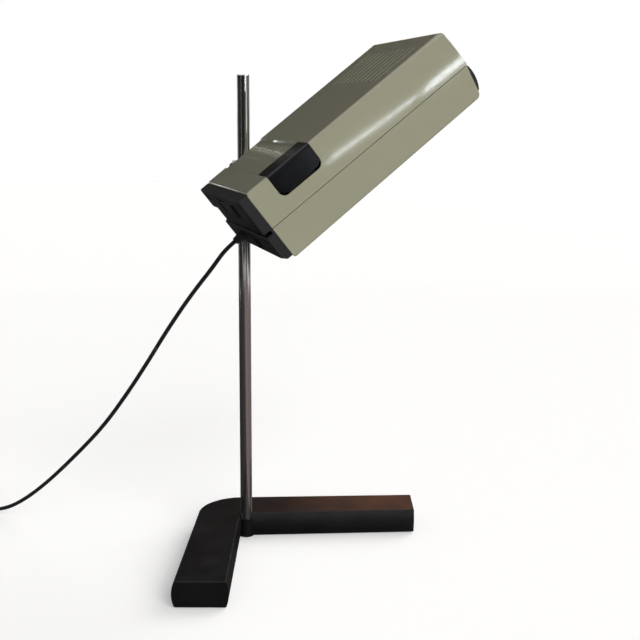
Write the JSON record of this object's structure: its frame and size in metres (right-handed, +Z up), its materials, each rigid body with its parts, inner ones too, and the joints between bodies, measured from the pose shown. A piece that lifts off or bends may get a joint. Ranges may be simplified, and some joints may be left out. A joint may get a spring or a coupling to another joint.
{
  "type": "desk lamp",
  "caption": "Desk lamp with a wide box head that tilts on a clamp, slides and swivels on a rod, and stands on an L-shaped base.",
  "frame": {"origin": "under the rod's axis, on the underside of the base", "axes": "+Z up along the rod, +X along the base's right leg, -Y along its front leg"},
  "size_m": [0.5589, 0.3054, 0.4942],
  "materials": {
    "casting_black": "satin black coat",
    "pad_rubber": "matt",
    "chrome": "polished",
    "shell_upper": "glossy",
    "shell_lower": "glossy",
    "black_plastic": "satin",
    "bush_nylon": "natural",
    "clamp_black": "satin black",
    "steel": "zinc plated",
    "reflector_white": "white enamel",
    "brass": "bright",
    "bulb_metal": "rolled thread",
    "bulb_glass": "frosted",
    "cord_black": "matt",
    "plug_black": "matt",
    "saddle_grey": "matt"
  },
  "bodies": {
    "base": {"base_casting": "casting_black", "base_pad": "pad_rubber", "rod": "chrome", "rod_washer": "steel", "rod_screw": "steel", "cord_lower": "cord_black", "cord_coil": "cord_black", "plug_body": "plug_black", "plug_pins": "brass"},
    "slider": {"slide_bush": "bush_nylon", "bush_ring": "steel"},
    "carrier": {"clamp_body": "clamp_black", "friction_washer": "bush_nylon", "pivot_washer": "steel", "spring_washer": "steel", "pivot_bolt": "steel", "cord_middle": "cord_black"},
    "knob": {"clamp_knob": "black_plastic", "clamp_stud": "steel"},
    "head": {"top_cover": "shell_upper", "lower_housing": "shell_lower", "cover_screws": "steel", "upper_end_cap": "black_plastic", "lower_end_cap": "black_plastic", "cap_screws": "steel", "far_end_plate": "black_plastic", "chassis_plate": "steel", "chassis_screws": "steel", "switch_body": "black_plastic", "switch_spring": "steel", "holder_bracket": "steel", "holder_nipple": "brass", "nipple_nut": "steel", "lampholder": "black_plastic", "holder_ring": "black_plastic", "bulb_contact": "brass", "bulb_cap": "bulb_metal", "bulb_glass": "bulb_glass", "reflector": "reflector_white", "terminal_block": "black_plastic", "inner_wires": "cord_black", "pivot_plate": "steel", "plate_rivets": "steel", "cord_gland": "cord_black", "inner_cord": "cord_black", "cord_clamp": "saddle_grey", "clamp_screws": "steel", "cord_upper": "cord_black"},
    "key": {"switch_key": "black_plastic", "switch_plunger": "black_plastic"}
  },
  "joints": [
    {"name": "height", "type": "slide", "parent": "base", "child": "slider", "axis": [0, 0, 1], "range_m": [-0.16, 0.075], "deforming": ["cord_lower"]},
    {"name": "swivel", "type": "hinge", "parent": "slider", "child": "carrier", "pos_m": [0, 0, 0.3635], "axis": [0, 0, 1], "range_deg": [-150, 150], "deforming": ["cord_middle"]},
    {"name": "tilt", "type": "hinge", "parent": "carrier", "child": "head", "pos_m": [0.00585, -0.01913, 0.3635], "axis": [0.2924, -0.9563, 0], "range_deg": [-90, 50], "deforming": ["cord_upper"]},
    {"name": "knob_turn", "type": "hinge", "parent": "carrier", "child": "knob", "pos_m": [0, 0, 0.3635], "axis": [-0.2924, 0.9563, 0], "range_deg": [0, 180]},
    {"name": "switch_press", "type": "slide", "parent": "head", "child": "key", "axis": [0.5927, 0.1812, -0.7848], "range_m": [0, 0.0018], "stiffness_N_per_m": 400, "springref_m": -0.002, "deforming": ["switch_spring"]}
  ]
}
